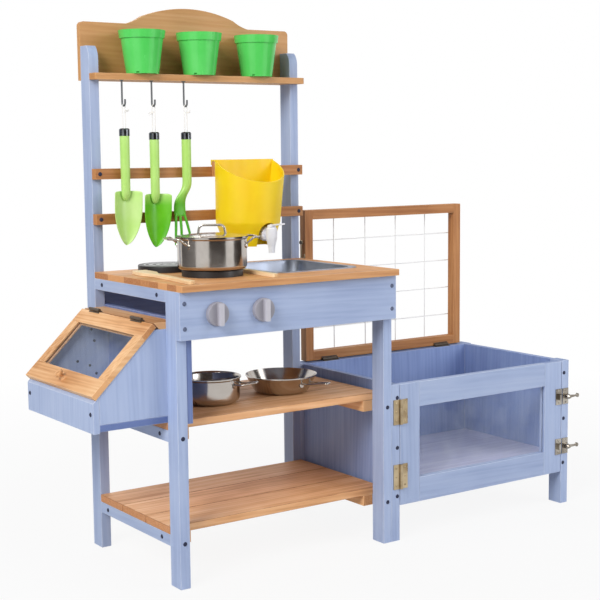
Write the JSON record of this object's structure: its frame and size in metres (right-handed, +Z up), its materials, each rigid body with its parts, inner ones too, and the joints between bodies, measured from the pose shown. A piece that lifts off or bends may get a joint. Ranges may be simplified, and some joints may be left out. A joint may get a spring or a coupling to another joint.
{
  "type": "mud kitchen",
  "caption": "Timber play kitchen with worktop, sink, hobs, shelves, side bin with sloping lid, planter box with door and mesh lid, water container and hanging tools.",
  "frame": {"origin": "middle of the whole outline in plan, on the floor", "axes": "+X to the right as seen from the front, +Y to the back, +Z up"},
  "size_m": [1.1256, 0.388, 1.04],
  "materials": {
    "blue_wood": "washed stain, grain shows",
    "honey_wood": "oiled, grain shows",
    "pale_wood": "bare",
    "clear_plastic": "clear sheet",
    "hinge_brass": "plated",
    "pot_steel": "polished",
    "sink_steel": "satin",
    "hook_steel": "dark",
    "screw_steel": "dark",
    "white_wire": "coated",
    "hob_black": "printed",
    "knob_grey": "satin",
    "pot_green": "moulded",
    "container_yellow": "moulded",
    "tap_white": "moulded",
    "tool_lime": "moulded",
    "tool_green": "moulded",
    "string_white": "twisted"
  },
  "bodies": {
    "frame": {"front_legs": "blue_wood", "back_posts": "blue_wood", "front_apron": "blue_wood", "back_apron": "blue_wood", "side_rails": "blue_wood", "shelf_battens": "honey_wood", "shelf_planks": "honey_wood", "worktop": "honey_wood", "hob_plates": "hob_black", "sink_basin": "sink_steel", "top_shelf": "honey_wood", "arch_back_board": "honey_wood", "hanging_rails": "honey_wood", "container_hanger": "honey_wood", "bin_back_panel": "blue_wood", "bin_floor": "blue_wood", "bin_walls": "blue_wood", "bin_top_board": "honey_wood", "planter_legs": "blue_wood", "planter_walls": "blue_wood", "planter_floor": "blue_wood", "latch_plates": "hinge_brass", "fixed_hinge_leaves": "hinge_brass", "tool_hooks": "hook_steel", "frame_screws": "screw_steel"},
    "knob_left": {"knob_left": "knob_grey"},
    "knob_right": {"knob_right": "knob_grey"},
    "bin_lid": {"bin_lid_frame": "honey_wood", "bin_lid_window": "clear_plastic", "bin_lid_knob": "honey_wood", "bin_lid_hinge_leaves": "hinge_brass"},
    "door": {"door_frame": "blue_wood", "door_window": "clear_plastic", "door_hinge_leaves": "hinge_brass", "latch_keepers": "hinge_brass"},
    "latch_upper": {"latch_wing_upper": "hinge_brass"},
    "latch_lower": {"latch_wing_lower": "hinge_brass"},
    "mesh_lid": {"mesh_lid_frame": "honey_wood", "mesh_lid_wires": "white_wire", "mesh_lid_fittings": "hinge_brass"},
    "lid_hook": {"mesh_lid_hook": "hinge_brass"},
    "cooking_pot": {"cooking_pot": "pot_steel"},
    "pot_lid": {"pot_lid": "pot_steel"},
    "saucepan": {"saucepan": "pot_steel"},
    "frying_pan": {"frying_pan": "pot_steel"},
    "plant_pot_left": {"plant_pot_left": "pot_green"},
    "plant_pot_middle": {"plant_pot_middle": "pot_green"},
    "plant_pot_right": {"plant_pot_right": "pot_green"},
    "water_container": {"water_container": "container_yellow", "tap_body": "tap_white"},
    "tap_lever": {"tap_lever": "tap_white"},
    "trowel_light": {"trowel_light": "tool_lime", "string_loop_light": "string_white"},
    "trowel_green": {"trowel_green": "tool_green", "string_loop_green": "string_white"},
    "hand_fork": {"hand_fork": "tool_green", "string_loop_fork": "string_white"},
    "spatula": {"spatula": "pale_wood"},
    "spoon": {"spoon": "pale_wood"}
  },
  "joints": [
    {"name": "knob_left_turn", "type": "hinge", "parent": "frame", "child": "knob_left", "pos_m": [-0.34215, -0.174, 0.48325], "axis": [0, 1, 0], "continuous": true},
    {"name": "knob_right_turn", "type": "hinge", "parent": "frame", "child": "knob_right", "pos_m": [-0.24715, -0.174, 0.48325], "axis": [0, 1, 0], "continuous": true},
    {"name": "bin_lid_hinge", "type": "hinge", "parent": "frame", "child": "bin_lid", "pos_m": [-0.44315, 0.011, 0.4732], "axis": [0, 1, 0], "range_deg": [0, 125]},
    {"name": "door_hinge", "type": "hinge", "parent": "frame", "child": "door", "pos_m": [0.07835, -0.1632, 0.1555], "axis": [0, 0, -1], "range_deg": [0, 110]},
    {"name": "latch_upper_turn", "type": "hinge", "parent": "frame", "child": "latch_upper", "pos_m": [0.53185, -0.16, 0.234], "axis": [0, -1, 0], "range_deg": [0, 180]},
    {"name": "latch_lower_turn", "type": "hinge", "parent": "frame", "child": "latch_lower", "pos_m": [0.53185, -0.16, 0.126], "axis": [0, -1, 0], "range_deg": [0, 180]},
    {"name": "mesh_lid_hinge", "type": "hinge", "parent": "frame", "child": "mesh_lid", "pos_m": [0.29935, 0.156, 0.3142], "axis": [1, 0, 0], "range_deg": [0, 90]},
    {"name": "lid_hook_pivot", "type": "hinge", "parent": "mesh_lid", "child": "lid_hook", "pos_m": [0.07885, 0.1692, 0.567], "axis": [1, 0, 0], "range_deg": [-60, 60]},
    {"name": "cooking_pot_slide", "type": "slide", "parent": "frame", "child": "cooking_pot", "axis": [0, -1, 0], "range_m": [0, 0.2]},
    {"name": "pot_lid_lift", "type": "slide", "parent": "cooking_pot", "child": "pot_lid", "axis": [0, 0, 1], "range_m": [0, 0.08]},
    {"name": "saucepan_slide", "type": "slide", "parent": "frame", "child": "saucepan", "axis": [0, -1, 0], "range_m": [0, 0.26]},
    {"name": "frying_pan_slide", "type": "slide", "parent": "frame", "child": "frying_pan", "axis": [0, -1, 0], "range_m": [0, 0.26]},
    {"name": "plant_pot_left_lift", "type": "slide", "parent": "frame", "child": "plant_pot_left", "axis": [0, 0, 1], "range_m": [0, 0.1]},
    {"name": "plant_pot_middle_lift", "type": "slide", "parent": "frame", "child": "plant_pot_middle", "axis": [0, 0, 1], "range_m": [0, 0.1]},
    {"name": "plant_pot_right_lift", "type": "slide", "parent": "frame", "child": "plant_pot_right", "axis": [0, 0, 1], "range_m": [0, 0.1]},
    {"name": "water_container_lift", "type": "slide", "parent": "frame", "child": "water_container", "axis": [0, 0, 1], "range_m": [0, 0.12]},
    {"name": "tap_lever_lift", "type": "hinge", "parent": "water_container", "child": "tap_lever", "pos_m": [-0.09015, 0.0382, 0.612], "axis": [-1, 0, 0], "range_deg": [0, 25]},
    {"name": "trowel_light_swing", "type": "hinge", "parent": "frame", "child": "trowel_light", "pos_m": [-0.35815, 0.121, 0.85375], "axis": [-1, 0, 0], "range_deg": [0, 20]},
    {"name": "trowel_green_swing", "type": "hinge", "parent": "frame", "child": "trowel_green", "pos_m": [-0.29515, 0.121, 0.85375], "axis": [-1, 0, 0], "range_deg": [0, 20]},
    {"name": "hand_fork_swing", "type": "hinge", "parent": "frame", "child": "hand_fork", "pos_m": [-0.22515, 0.121, 0.85375], "axis": [-1, 0, 0], "range_deg": [0, 20]},
    {"name": "spatula_slide", "type": "slide", "parent": "frame", "child": "spatula", "axis": [0, -1, 0], "range_m": [0, 0.23]},
    {"name": "spoon_slide", "type": "slide", "parent": "frame", "child": "spoon", "axis": [0, -1, 0], "range_m": [0, 0.23]}
  ]
}
